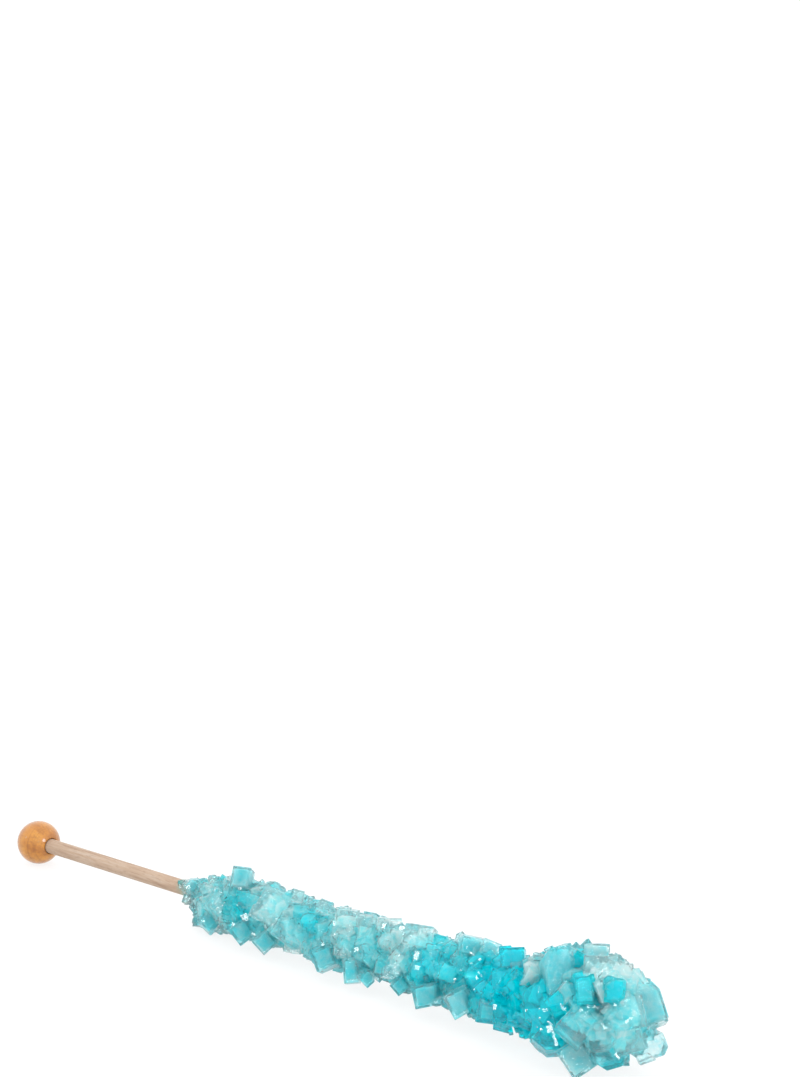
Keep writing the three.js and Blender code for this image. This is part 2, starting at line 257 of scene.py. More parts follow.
# Small facets that mirror the front light, each as
# (station, angle, reach, width along the stick, height across it, turn in degrees).
GLINTS = (
    (54.4, 148, 4.2, 0.8, 0.8, 10),
    (59.9, 98, 4.4, 0.7, 0.7, 20),
    (62.2, 203, 7.1, 0.6, 0.6, 30),
    (70.8, 122, 6.6, 0.7, 0.7, 0),
    (73.1, 188, 7.9, 0.5, 1.3, 10),
    (74.7, 174, 5.9, 1.5, 1.5, 45),
    (77.2, 203, 6.4, 0.9, 0.5, 0),
    (97.7, 181, 5.4, 0.6, 0.6, 0),
    (107.7, 169, 5.8, 0.9, 0.9, 20),
    (111.5, 105, 6.2, 0.6, 1.2, 0),
    (115.7, 96, 6.1, 1.0, 1.0, 10),
    (123.7, 144, 5.7, 0.9, 1.8, 10),
    (125.6, 166, 5.9, 1.7, 0.8, 10),
    (150.2, 177, 9.9, 0.7, 1.0, 20),
    (164.2, 183, 9.5, 1.2, 1.2, 30),
    (165.2, 194, 9.5, 0.6, 2.8, 35),
    (177.8, 161, 9.9, 1.3, 0.4, -35),
    (179.1, 202, 7.7, 1.4, 0.5, -30),
    (181.0, 144, 7.5, 0.5, 1.6, -30),
)
GLINT_DEPTH = 1.0  # of the small block that the facet is the front of
GLINT_TINT = 0.1
GLINT_CALM = 2.1

# Hollows full of crumbs of sugar, each as (station, angle, reach, radius, count).
CRUMB_HOLLOWS = (
    (70.5, 150, 6.4, 3.0, 10),
    (104.0, 150, 5.8, 4.0, 10),
    (124.0, 150, 6.0, 4.0, 10),
    (140.0, 140, 7.5, 5.0, 14),
    (161.6, 158, 10.4, 2.0, 6),
    (163.0, 177, 9.7, 1.5, 6),
    (168.3, 154, 10.6, 1.0, 7),
    (171.5, 113, 12.1, 1.4, 9),
    (173.3, 147, 9.8, 1.8, 16),
    (178.0, 124, 8.6, 1.2, 12),
)
CRUMB_SIZE = (0.2, 0.45)
CRUMB_HEIGHT_SHARE = (0.7, 1.4)  # of the width
CRUMB_TINT = 0.3  # at most

# The stick's outline from the show side, as (station, reach above the axis, reach below).
OUTLINE = (
    (48, 1.9, 2.5),
    (51.5, 2.2, 3.3),
    (54.5, 3.1, 5.8),
    (57.5, 5.2, 6.9),
    (64, 7.5, 6.9),
    (68, 6.6, 7.3),
    (72, 6.4, 6.2),
    (76, 6.9, 7.6),
    (82, 6.4, 6.4),
    (88, 6.2, 6.2),
    (95, 6.1, 7.6),
    (104, 6.3, 9.0),
    (107, 7.2, 8.0),
    (111, 6.8, 5.8),
    (117, 7.3, 7.1),
    (122, 6.2, 8.4),
    (130, 8.2, 8.9),
    (136, 8.3, 7.4),
    (142, 8.3, 7.6),
    (147, 8.2, 8.7),
    (153, 10.9, 8.6),
    (160, 13.6, 10.2),
    (164, 14.0, 11.8),
    (170, 12.0, 9.0),
    (174, 10.0, 8.6),
)
# How far the knob's outline reaches past its middle, as (degrees up from the stick, reach).
KNOB_OUTLINE = ((0, 13.1), (15, 12.5), (30, 11.3), (45, 11.3), (60, 11.3), (75, 12.3))
SUPPORT_SHARE = 0.85  # of a block's half size that is left with its corners cut
DEEPEST_SETTLING = 2.0  # by which a crystal is sunk to fit the outline
FACE_KEPT = 0.8  # share of a large crystal's face that finer ones don't grow on

# Where the sugar is paler or deeper in colour than elsewhere, as
# (station, angle, reach, radius, tint): tint 0 is nearly clear, 1 is deep aqua, and above 1
# the aqua loses its paler specks.
TINT_PATCHES = (
    (66, 150, 5, 14, 0.3),
    (53, 120, 3, 3, 0.1),
    (48.5, 200, 2, 2.5, 0.8),
    (82, 134, 5, 5, 0.25),
    (102, 150, 6, 6, 0.25),
    (117, 100, 6, 5, 0.1),
    (92, 140, 6, 3, 0.9),
    (72, 160, 6, 4, 0.75),
    (128, 150, 6, 7, 0.7),
    (141, 150, 7, 8, 0.85),
    (152, 165, 8, 11, 1.4),
    (163, 185, 9, 7, 1.2),
    (156, 112, 8, 4, 0.1),
    (171, 128, 10, 3.4, 1.0),
    (176, 118, 10, 2.4, 0.85),
    (172, 100, 10, 5, 0.1),
    (178, 110, 8, 4, 0.15),
    (172, 200, 9, 6, 0.4),
    (178, 180, 6, 6, 0.3),
)
PATCH_EDGE = (1.3, 0.5)  # where a patch's tint begins and is full, in its radii
PLAIN_TINT = 0.4
TINT_SCATTER = 0.35
TERRACE_TINT_SCATTER = 0.4
MASS_TINT_ADDED = 0.15
DEEPEST_TINT = 1.4

# ---- The room, in metres ----

CAMERA_PLACE = (608.39, -474.99, 234.28)  # millimetres, in the stick's frame
CAMERA_TURN = 45.74  # degrees from square on to the stick, round to its knob
CAMERA_PITCH = 13.38
CAMERA_ROLL = 0.19
SENSOR_WIDTH = 36  # millimetres, for the frame's long side
LENS = 121.02  # millimetres

KEY_PLACE = (1.06, -0.16, 0.55)
KEY_AIM = (0, 0, 0)
KEY_SIZE = 0.36
KEY_POWER = 3.6

# Small strong lights on the crystals only, for the white glints on their faces.
FRONT_SPARKLE = (0.7, -0.62, 0.42)
SPARKLES = (
    ("sparkle_left", (-0.55, -0.75, 0.45), 2.0),
    ("sparkle_top", (0.15, -0.3, 1.0), 2.0),
    ("sparkle_back", (0.2, 0.8, 0.6), 2.0),
    ("sparkle_front", FRONT_SPARKLE, 4.5),
)
SPARKLE_AIM = (0.035, 0, 0.01)
SPARKLE_RADIUS = 0.07
SPARKLE_CONE = 9  # degrees
SPARKLE_BLEND = 0.4

HORIZON_COLOUR = (0.8, 0.81, 0.82, 1)
SKY_COLOUR = (1, 1, 1, 1)
SKY_HEIGHT = 0.6  # where the sky's own colour is reached: 0 is level, 1 straight up
SKY_STRENGTH = 1.45

FLOOR_REACH = 6.0
FLOOR_GAP = 0.02  # millimetres under the stick
GROUND_REACH = (200, 50)  # millimetres, of the block that cuts the sugar flat
GROUND_DEPTH = 20  # millimetres
SQUARE = ((-1, -1), (1, -1), (1, 1), (-1, 1))

# ---- Shared helpers ----

rad = math.radians
ball_radius = BALL_DIAMETER / 2
dowel_radius = DOWEL_DIAMETER / 2

# The stick's frame in the room: its origin is the ball's centre, found from the dowel.
dowel_low, dowel_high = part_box("dowel")
dowel_middle = DOWEL_LENGTH / 2 - DOWEL_INSET
tilt = Matrix.Rotation(-rad(STICK_TILT), 4, "Y")
box_middle = (Vector(dowel_low) + Vector(dowel_high)) / 2
ball_centre = box_middle - tilt @ Vector((dowel_middle * MM, 0, 0))
STICK = Matrix.Translation(ball_centre) @ tilt @ Matrix.Scale(MM, 4)

# Directions in the stick's frame: toward the viewer, and up and along as the viewer sees it.
SHOW_SIDE = Vector((0.66, -0.67, 0.33)).normalized()
OUTLINE_UP = SHOW_SIDE.cross(Vector((1, 0, 0))).normalized()
OUTLINE_ALONG = OUTLINE_UP.cross(SHOW_SIDE)


def seeded_random(seed):
    """A linear congruential generator, so the same crystals grow every time."""
    state = seed

    def draw():
        nonlocal state
        state = (state * 1664525 + 1013904223) % 4294967296
        return state / 4294967296

    return draw


def lerp(a, b, share):
    return a + (b - a) * share


def smoothstep(value, low, high):
    share = min(max((value - low) / (high - low), 0), 1)
    return share * share * (3 - 2 * share)


def along_profile(profile, station):
    """The values of a profile of (station, value, ...) at a station."""
    station = min(max(station, profile[0][0]), profile[-1][0])
    for near, far in zip(profile, profile[1:]):
        if station <= far[0]:
            share = (station - near[0]) / (far[0] - near[0])
            return [lerp(a, b, share) for a, b in zip(near[1:], far[1:])]


def spread_angle(limit, draw):
    """A random angle in radians, up to a limit in degrees either way."""
    return rad(limit) * (2 * draw() - 1)


def place_on_stick(station, angle, reach):
    return Vector((station, reach * math.cos(rad(angle)), reach * math.sin(rad(angle))))


def facing_matrix(facing):
    """The turn that brings Z to a direction and X as near as it can be to the stick's."""
    along = (Vector((1, 0, 0)) - facing.x * facing).normalized()
    return Matrix((along, facing.cross(along), facing)).transposed().to_4x4()


def new_mesh(name, vertices, faces):
    mesh = bpy.data.meshes.new(name)
    mesh.from_pydata(vertices, [], faces)
    return mesh


def new_piece(name, mesh, node, material):
    """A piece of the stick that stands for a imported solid."""
    piece = bpy.data.objects.new(name, mesh)
    bpy.context.scene.collection.objects.link(piece)
    mesh.materials.append(material)
    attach(piece, "root")
    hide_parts(node)


def lathe(profile, sides):
    """Vertices and faces of a closed profile of (station, radius) spun round the axis."""
    vertices = []
    rings = []
    for station, radius in profile:
        count = 1 if radius == 0 else sides
        rings.append(range(len(vertices), len(vertices) + count))
        for side in range(count):
            turn = 2 * math.pi * side / sides
            vertices.append(Vector((station, radius * math.cos(turn), radius * math.sin(turn))))
    faces = []
    for near, far in zip(rings, rings[1:]):
        for side in range(sides):
            after = (side + 1) % sides
            if len(near) == 1:
                faces.append((near[0], far[side], far[after]))
            elif len(far) == 1:
                faces.append((near[side], far[0], near[after]))
            else:
                faces.append((near[side], far[side], far[after], near[after]))
    return vertices, [face[::-1] for face in faces]


# ---- Candy: the mass under the crystals ----


def mass_radius(station):
    return along_profile(MASS_PROFILE, station)[0]


def mass_rise(station):
    """How far the middle of the mass is above the axis."""
    droop = COLLAR_DROOP * smoothstep(station, *DROOP_GROWS) * smoothstep(station, *DROOP_FADES)
    return KNOB_RISE * smoothstep(station, *RISE_GROWS) - droop


def wave(shape, station, turn):
    return shape["height"] * math.sin(shape["pace"] * station + shape["lobes"] * turn)


def lumps(station, angle):
    turn = rad(angle)
    return 1 + wave(LONG_WAVE, station, turn) + wave(SHORT_WAVE, station, turn)


def place_on_mass(station, angle):
    place = place_on_stick(station, angle, mass_radius(station) * lumps(station, angle))
    place.z += mass_rise(station)
    return place


def mass_form(start, share):
    """The mass from a station on, shrunk to a share of its radius, with a slanting collar."""
    end = MASS_PROFILE[-1][0]
    profile = [(start, 0)]
    for ring in range(MASS_RINGS + 1):
        station = lerp(start, end, ring / MASS_RINGS)
        profile.append((station, share * mass_radius(station)))
    profile.append((end, 0))
    vertices, faces = lathe(profile, MASS_SIDES)
    for vertex in vertices:
        angle = math.atan2(vertex.z, vertex.y)
        swell = lumps(vertex.x, math.degrees(angle))
        vertex.y *= swell
        vertex.z = vertex.z * swell + mass_rise(vertex.x)
        fade = min(max((COLLAR_END - vertex.x) / (COLLAR_END - COLLAR_START), 0), 1)
        vertex.x += fade * COLLAR_SLANT * (1 - math.cos(angle - rad(COLLAR_ANGLE)))
    return vertices, faces


def mass_mesh(start, share):
    mesh = new_mesh("mass", *mass_form(start, share))
    mesh.transform(STICK)
    draw = seeded_random(MASS_TINT_SEED)
    to_stick = STICK.inverted()
    places = [to_stick @ face.center for face in mesh.polygons]
    face_values(mesh, "tint", [min(tint_at(place, draw) + MASS_TINT_ADDED, 1) for place in places])
    face_values(mesh, "calm", [0] * len(places))
    return mesh


# ---- Candy: what a crystal is ----


def crystal(size, six_sided, matrix, tint, facets=(), wear=0, calm=0, cloud=0):
    """A crystal's form, its place on the stick, and what its faces look like."""
    return {
        "size": size,
        "six_sided": six_sided,
        "facets": facets,
        "chamfer": wear * min(size),
        "matrix": matrix,
        "tint": tint,
        "calm": calm,
        "cloud": cloud,
    }


def crystal_mesh(size, six_sided, facets, chamfer):
    """A block, or a six-sided tablet, with slanting facets cut on it and its edges worn."""
    x, y, z = (side / 2 for side in size)
    cut = CORNER_CUT * min(size[:2])
    outline = [(-x, -y), (x, -y), (x, y), (-x, y)]
    if six_sided:
        outline = [(-x, -y), (x - cut, -y), (x, -y + cut), (x, y), (-x + cut, y), (-x, y - cut)]
    shape = bmesh.new()
    bottom = [shape.verts.new((*corner, -z)) for corner in outline]
    top = [shape.verts.new((*corner, z)) for corner in outline]
    shape.faces.new(bottom[::-1])
    shape.faces.new(top)
    for index in range(len(outline)):
        after = (index + 1) % len(outline)
        shape.faces.new((bottom[index], bottom[after], top[after], top[index]))
    for point, normal in facets:
        everything = [*shape.verts, *shape.edges, *shape.faces]
        sliced = bmesh.ops.bisect_plane(
            shape, geom=everything, plane_co=point, plane_no=normal, clear_outer=True
        )
        rim = [part for part in sliced["geom_cut"] if isinstance(part, bmesh.types.BMEdge)]
        bmesh.ops.contextual_create(shape, geom=rim)
    if chamfer > 0:
        bmesh.ops.bevel(
            shape,
            geom=shape.edges[:],
            offset=chamfer,
            segments=1,
            profile=0.5,
            affect="EDGES",
            clamp_overlap=True,
        )
    mesh = bpy.data.meshes.new("crystal")
    shape.to_mesh(mesh)
    shape.free()
    return mesh


def slanting_facets(size, count, draw):
    """Planes that each take a corner or an edge off a block of that size."""
    facets = []
    half = Vector(size) / 2
    for _ in range(count):
        corner = Vector([side * (1 if draw() < 0.5 else -1) for side in half])
        normal = Vector([lerp(*FACET_TURN, draw()) * (1 if side > 0 else -1) for side in corner])
        normal.normalize()
        depth = lerp(*FACET_DEPTH, draw()) * min(size)
        facets.append((corner - normal * depth, normal))
    return facets


def scattered(tint, scatter, draw):
    return min(max(tint + scatter * (draw() - 0.5), 0), DEEPEST_TINT)


def tint_at(place, draw):
    """How deep the sugar's colour is at a place, from the patches, with some scatter."""
    tint = PLAIN_TINT
    for station, angle, reach, radius, patch_tint in TINT_PATCHES:
        distance = (place - place_on_stick(station, angle, reach)).length
        begins, full = (edge * radius for edge in PATCH_EDGE)
        tint = lerp(tint, patch_tint, smoothstep(distance, begins, full))
    return scattered(tint, TINT_SCATTER, draw)


def resized(one, share):
    """A copy of a crystal, larger or smaller about its own middle."""
    return {**one, "matrix": one["matrix"] @ Matrix.Scale(share, 4)}


# ---- Candy: where crystals grow ----


def large_crystals():
    """The crystals that are placed one by one, facing the viewer but for a small lean."""
    facing = facing_matrix(SHOW_SIDE)
    draw = seeded_random(LARGE_LEAN_SEED)
    form_draw = seeded_random(LARGE_FACET_SEED)
    grown = []
    for station, angle, reach, width, height, depth, turn, tint, cloud in LARGE_CRYSTALS:
        six_sided = draw() < SIX_SIDED_SHARE
        lean_x = Matrix.Rotation(spread_angle(FACING_LEAN, draw), 4, "X")
        lean_y = Matrix.Rotation(spread_angle(FACING_LEAN, draw), 4, "Y")
        place = place_on_stick(station, angle, reach)
        matrix = Matrix.Translation(place) @ facing @ Matrix.Rotation(rad(turn), 4, "Z")
        matrix = matrix @ lean_y @ lean_x
        size = (width, height, depth)
        cuts = KNOB_FACETS if station > SHAFT_END else 0
        if width * height > BROAD_FACE:
            cuts = BROAD_FACETS
        facets = slanting_facets(size, cuts, form_draw)
        grown.append(crystal(size, six_sided, matrix, tint, facets, EDGE_WEAR, 1, cloud))
    return grown


def size_taper(station):
    """The size of crystals at a station, as a share of the full one."""
    grown = (station - SHAFT_CRYSTALS["start"]) / (FULL_SIZE_STATION - SHAFT_CRYSTALS["start"])
    return lerp(FIRST_CRYSTAL_SIZE, 1, min(max(grown, 0), 1))


def spread_crystals(spread, taken, form_draw):
    """Crystals over the mass on a golden-angle spiral, without those that would crowd
    another, and each standing roughly outward with a random turn and lean."""
    golden_angle = 180 * (3 - math.sqrt(5))
    knob_middle = Vector((KNOB_STATION, 0, KNOB_RISE))
    shear = Matrix(((1, 0, SUGAR_LEAN, 0), (0, 1, 0, 0), (0, 0, 1, 0), (0, 0, 0, 1)))
    reach = spread["spacing"] / 2
    draw = seeded_random(spread["seed"])
    grown = []
    for index in range(spread["tries"]):
        station = lerp(spread["start"], spread["end"], (index + draw()) / spread["tries"])
        angle = index * golden_angle + ANGLE_SCATTER * draw()
        width = size_taper(station) * lerp(*spread["size"], draw() ** SIZE_POWER)
        height = width * lerp(*HEIGHT_SHARE, draw())
        depth = width * lerp(*DEPTH_SHARE, draw())
        six_sided = draw() < SIX_SIDED_SHARE
        turn = Matrix.Rotation(spread_angle(180, draw), 4, "Z")
        lean_x = Matrix.Rotation(spread_angle(RANDOM_LEAN, draw), 4, "X")
        lean_y = Matrix.Rotation(spread_angle(RANDOM_LEAN, draw), 4, "Y")
        place = place_on_mass(station, angle)
        middle = knob_middle if station > SHAFT_END else Vector((station, 0, 0))
        outward = (place - middle).normalized()
        place = place + lerp(*spread["lift"], form_draw()) * outward
        if any((place - other).length < reach * (width + size) for other, size in taken):
            continue
        taken.append((place, width))
        stand = Vector((0, 0, 1)).rotation_difference(outward).to_matrix().to_4x4()
        matrix = Matrix.Translation(place) @ stand @ lean_y @ lean_x @ turn @ shear
        size = (width, height, depth)
        facets = slanting_facets(size, 1 + int(SPREAD_FACETS * form_draw()), form_draw)
        tint = tint_at(place, form_draw)
        grown.append(crystal(size, six_sided, matrix, tint, facets, spread["wear"], spread["calm"]))
    return grown


def terraces(crystals, count, share, lean, seed):
    """Nearly parallel neighbours that step out of the crystals' corners."""
    draw = seeded_random(seed)
    grown = []
    for parent in crystals:
        for _ in range(count):
            size = [side * lerp(*share, draw()) for side in parent["size"]]
            shift = Vector()
            for axis in range(3):
                sign = 1 if draw() < 0.5 else -1
                step = lerp(*TERRACE_STEP, draw())
                shift[axis] = sign * ((parent["size"][axis] - size[axis]) / 2 + step)
            matrix = parent["matrix"] @ Matrix.Translation(shift)
            for axis in "XYZ":
                matrix = matrix @ Matrix.Rotation(spread_angle(lean, draw), 4, axis)
            tint = scattered(parent["tint"], TERRACE_TINT_SCATTER, draw)
            facets = slanting_facets(size, TERRACE_FACETS, draw)
            six_sided = draw() < SIX_SIDED_SHARE
            grown.append(crystal(size, six_sided, matrix, tint, facets, EDGE_WEAR, parent["calm"]))
    return grown


def clouds(crystals):
    """The milky insides of the crystals that have one."""
    grown = []
    for one in crystals:
        if one["cloud"] > 0:
            inside = resized(one, one["cloud"])
            inside["chamfer"] = CLOUD_WEAR * min(one["size"])
            grown.append(inside)
    return grown


def glint(place, width, height, turn, tint):
    """A small block whose front mirrors the front light to the viewer."""
    spot = STICK @ place
    to_light = (Vector(FRONT_SPARKLE) - spot).normalized()
    to_viewer = (STICK @ Vector(CAMERA_PLACE) - spot).normalized()
    stand = facing_matrix((STICK.inverted().to_3x3() @ (to_light + to_viewer)).normalized())
    matrix = Matrix.Translation(place) @ stand @ Matrix.Rotation(rad(turn), 4, "Z")
    return crystal((width, height, GLINT_DEPTH), False, matrix, tint, calm=GLINT_CALM)


def glints():
    return [glint(place_on_stick(*row[:3]), *row[3:], GLINT_TINT) for row in GLINTS]


def crumbs():
    """Tiny crystals scattered in the hollows, about level with the view."""
    draw = seeded_random(CRUMB_SEED)
    grown = []
    for station, angle, reach, radius, count in CRUMB_HOLLOWS:
        middle = place_on_stick(station, angle, reach)
        for _ in range(count):
            along = radius * (2 * draw() - 1)
            across = radius * (2 * draw() - 1)
            place = middle + along * OUTLINE_ALONG + across * OUTLINE_UP
            width = lerp(*CRUMB_SIZE, draw())
            height = width * lerp(*CRUMB_HEIGHT_SHARE, draw())
            turn = 90 * draw()
            grown.append(glint(place, width, height, turn, CRUMB_TINT * draw()))
    return grown


def clear_of(crystals, large):
    """The crystals that don't stand inside a large one or in front of it."""
    fronts = [(one["matrix"].inverted(), Vector(one["size"]) / 2) for one in large]

    def hides(one, into, half):
        place = into @ one["matrix"].translation
        inside = abs(place.x) < FACE_KEPT * half.x and abs(place.y) < FACE_KEPT * half.y
        return inside and place.z > -half.z

    return [one for one in crystals if not any(hides(one, *front) for front in fronts)]


def outline_limits(place):
    """Directions square to the view, each with how far the sugar reaches that way there."""
    above, below = along_profile(OUTLINE, place.dot(OUTLINE_ALONG) / OUTLINE_ALONG.x)
    limits = [(OUTLINE_UP, above), (-OUTLINE_UP, below)]
    for rise, reach in KNOB_OUTLINE:
        outward = math.cos(rad(rise)) * OUTLINE_ALONG + math.sin(rad(rise)) * OUTLINE_UP
        limits.append((outward, reach + KNOB_STATION * outward.x))
    return limits


def settled(crystals):
    """The crystals, with those that would stand out of the stick's outline sunk into it."""
    sunk = []
    for one in crystals:
        matrix = one["matrix"].copy()
        for outward, limit in outline_limits(matrix.translation):
            sides = zip(matrix.to_3x3().col, one["size"])
            support = sum(abs(axis.dot(outward)) * side / 2 for axis, side in sides)
            excess = matrix.translation.dot(outward) + SUPPORT_SHARE * support - limit
            matrix.translation -= min(max(excess, 0), DEEPEST_SETTLING) * outward
        sunk.append({**one, "matrix": matrix})
    return sunk


# ---- Candy: one closed mesh of them all ----


def face_values(mesh, name, values):
    mesh.attributes.new(name, "FLOAT", "FACE").data.foreach_set("value", values)


def tinted(mesh, tint, calm=0):
    """The mesh with the same tint and calm on every face."""
    face_values(mesh, "tint", [tint] * len(mesh.polygons))
    face_values(mesh, "calm", [calm] * len(mesh.polygons))
    return mesh


def ground_block():
    """Everything below the surface that the stick lies on."""
    vertices = []
    for z in (-GROUND_DEPTH, 0):
        for x, y in SQUARE:
            vertices.append(Vector((x * GROUND_REACH[0], y * GROUND_REACH[1], z)) * MM)
    faces = [(3, 2, 1, 0), (4, 5, 6, 7)]
    for corner in range(4):
        after = (corner + 1) % 4
        faces.append((corner, after, 4 + after, 4 + corner))
    return new_mesh("ground", vertices, faces)


def union_of(base, crystals):
    """One closed mesh of the base and all the crystals, cut off at the ground."""
    group = bpy.data.collections.new("crystals")
    bpy.context.scene.collection.children.link(group)
    for one in crystals:
        mesh = crystal_mesh(one["size"], one["six_sided"], one["facets"], one["chamfer"])
        tinted(mesh, one["tint"], one["calm"])
        mesh.transform(STICK @ one["matrix"])
        group.objects.link(bpy.data.objects.new("crystal", mesh))
    whole = bpy.data.objects.new("whole", base)
    ground = bpy.data.objects.new("ground", tinted(ground_block(), PLAIN_TINT))
    for helper in (whole, ground):
        bpy.context.scene.collection.objects.link(helper)
    join = whole.modifiers.new("join", "BOOLEAN")
    join.operation = "UNION"
    join.operand_type = "COLLECTION"
    join.collection = group
    join.solver = "MANIFOLD"
    trim = whole.modifiers.new("trim", "BOOLEAN")
    trim.operation = "DIFFERENCE"
    trim.object = ground
    trim.solver = "MANIFOLD"
    depsgraph = bpy.context.evaluated_depsgraph_get()
    joined = bpy.data.meshes.new_from_object(whole.evaluated_get(depsgraph))
    joined.materials.clear()
    for helper in (whole, ground, *group.objects):
        mesh = helper.data
        bpy.data.objects.remove(helper)
        bpy.data.meshes.remove(mesh)
    bpy.data.collections.remove(group)
    return joined


# ---- Materials ----

# Sockets of a Mix node that is set to colours: its share and two colours, and its result.
MIX_INPUTS = (0, 6, 7)
MIX_OUTPUT = 2


class Finish:
    """A node-based material and shorthand for its nodes."""

    def __init__(self, name):
        self.material = bpy.data.materials.new(name)
        self.material.use_nodes = True
        self.tree = self.material.node_tree
        self.shader = self.tree.nodes["Principled BSDF"]
        self.places = self.tree.nodes.new("ShaderNodeTexCoord").outputs["Object"]

    def put(self, socket, value):
        """Links another node's output to a socket, or sets the socket to a plain value."""
        if isinstance(value, bpy.types.NodeSocket):
            self.tree.links.new(value, socket)
        else:
            socket.default_value = value

    def node(self, kind, settings=None, **inputs):
        made = self.tree.nodes.new("ShaderNode" + kind)
        for name, value in (settings or {}).items():
            setattr(made, name, value)
        for name, value in inputs.items():
            self.put(made.inputs[name.replace("_", " ")], value)
        return made

    def attribute(self, name):
        return self.node("Attribute", {"attribute_name": name}).outputs["Fac"]

    def noise(self, scale, detail=3.0, stretch=(1, 1, 1), seed=0.0):
        """Noise in grains: scale is how many there are to the millimetre."""
        scales = [scale / MM * side for side in stretch]
        moved = self.node("Mapping", Vector=self.places, Scale=scales, Location=(seed, seed, seed))
        made = self.node("TexNoise", Vector=moved.outputs["Vector"], Scale=1.0, Detail=detail)
        return made.outputs["Fac"]

    def station(self):
        """Millimetres from the ball's centre toward the knob."""
        split = self.node("SeparateXYZ", Vector=self.places)
        return self.math("MULTIPLY_ADD", split.outputs["X"], 1 / MM, -ball_centre.x / MM)

    def ramp(self, value, *stops):
        """Colours or greys between stops of (place, colour) or (place, grey)."""
        made = self.node("ValToRGB", Fac=value)
        elements = made.color_ramp.elements
        while len(elements) < len(stops):
            elements.new(0.5)
        for element, (place, colour) in zip(elements, stops):
            element.position = place
            element.color = (*colour, 1) if isinstance(colour, tuple) else (colour, colour, colour, 1)
        return made.outputs["Color"]

    def math(self, operation, a, b=0.0, c=0.0):
        made = self.node("Math", {"operation": operation})
        for socket, value in zip(made.inputs, (a, b, c)):
            self.put(socket, value)
        return made.outputs[0]

    def swayed(self, value, noise, strength):
        """The value, moved up and down with a noise."""
        centred = self.math("SUBTRACT", noise, 0.5)
        return self.math("MULTIPLY_ADD", centred, strength, value)

    def mix(self, share, below, above):
        """The colour below, with the one above laid over it where the share is high."""
        made = self.node("Mix", {"data_type": "RGBA"})
        for index, value in zip(MIX_INPUTS, (share, below, (*above, 1))):
            self.put(made.inputs[index], value)
        return made.outputs[MIX_OUTPUT]

    def bump(self, height, strength, distance):
        made = self.node("Bump", Height=height, Strength=strength, Distance=distance * MM)
        return made.outputs["Normal"]

    def finish(self, **inputs):
        for name, value in inputs.items():
            self.put(self.shader.inputs[name.replace("_", " ")], value)
        return self.material


def linear(red, green, blue):
    """A colour from its 0 to 255 screen values."""

    def one(value):
        share = value / 255
        return share / 12.92 if share <= 0.04045 else ((share + 0.055) / 1.055) ** 2.4

    return one(red), one(green), one(blue)


def crystal_material():
    """Clear sugar, paler or deeper by its tint, with waves on all but the calmest faces."""
    sugar = Finish("sugar_crystal")
    cloud = sugar.noise(scale=0.35, detail=2.0)
    grain = sugar.noise(scale=1.3, detail=4.0)
    depth = sugar.swayed(sugar.attribute("tint"), cloud, 0.9)
    depth = sugar.swayed(depth, grain, 0.9)
    colour = sugar.ramp(
        depth,
        (0.0, linear(240, 246, 244)),
        (0.3, linear(202, 234, 237)),
        (0.6, linear(132, 228, 235)),
        (1.0, linear(0, 238, 248)),
    )
    waves = sugar.noise(scale=1.1, detail=4.0)
    roughest = 0.9
    calming = 0.4
    relief = sugar.math("MULTIPLY_ADD", sugar.attribute("calm"), -calming, roughest)
    return sugar.finish(
        Base_Color=colour,
        Roughness=sugar.ramp(grain, (0.3, 0.05), (0.7, 0.16)),
        IOR=1.38,
        Specular_IOR_Level=0.3,
        Transmission_Weight=0.9,
        Subsurface_Weight=1.0,
        Subsurface_Radius=(1.0, 1.0, 1.0),
        Subsurface_Scale=1.5 * MM,
        Normal=sugar.bump(waves, relief, 0.35),
    )


def heart_material():
    """Milky sugar, greyer in the clouds of the large crystals."""
    sugar = Finish("sugar_heart")
    depth = sugar.swayed(sugar.attribute("tint"), sugar.noise(scale=0.9, detail=5.0), 1.2)
    colour = sugar.ramp(
        depth,
        (0.0, linear(224, 246, 246)),
        (0.5, linear(134, 239, 244)),
        (1.0, linear(0, 232, 244)),
    )
    greying = sugar.math("MULTIPLY", sugar.attribute("calm"), 0.5)
    colour = sugar.mix(greying, colour, linear(124, 186, 192))
    return sugar.finish(
        Base_Color=colour,
        Roughness=0.6,
        Specular_IOR_Level=0.0,
        Subsurface_Weight=1.0,
        Subsurface_Radius=(1.0, 1.0, 1.0),
        Subsurface_Scale=3.0 * MM,
        Normal=sugar.bump(sugar.noise(scale=1.5, detail=4.0), 0.4, 0.1),
    )


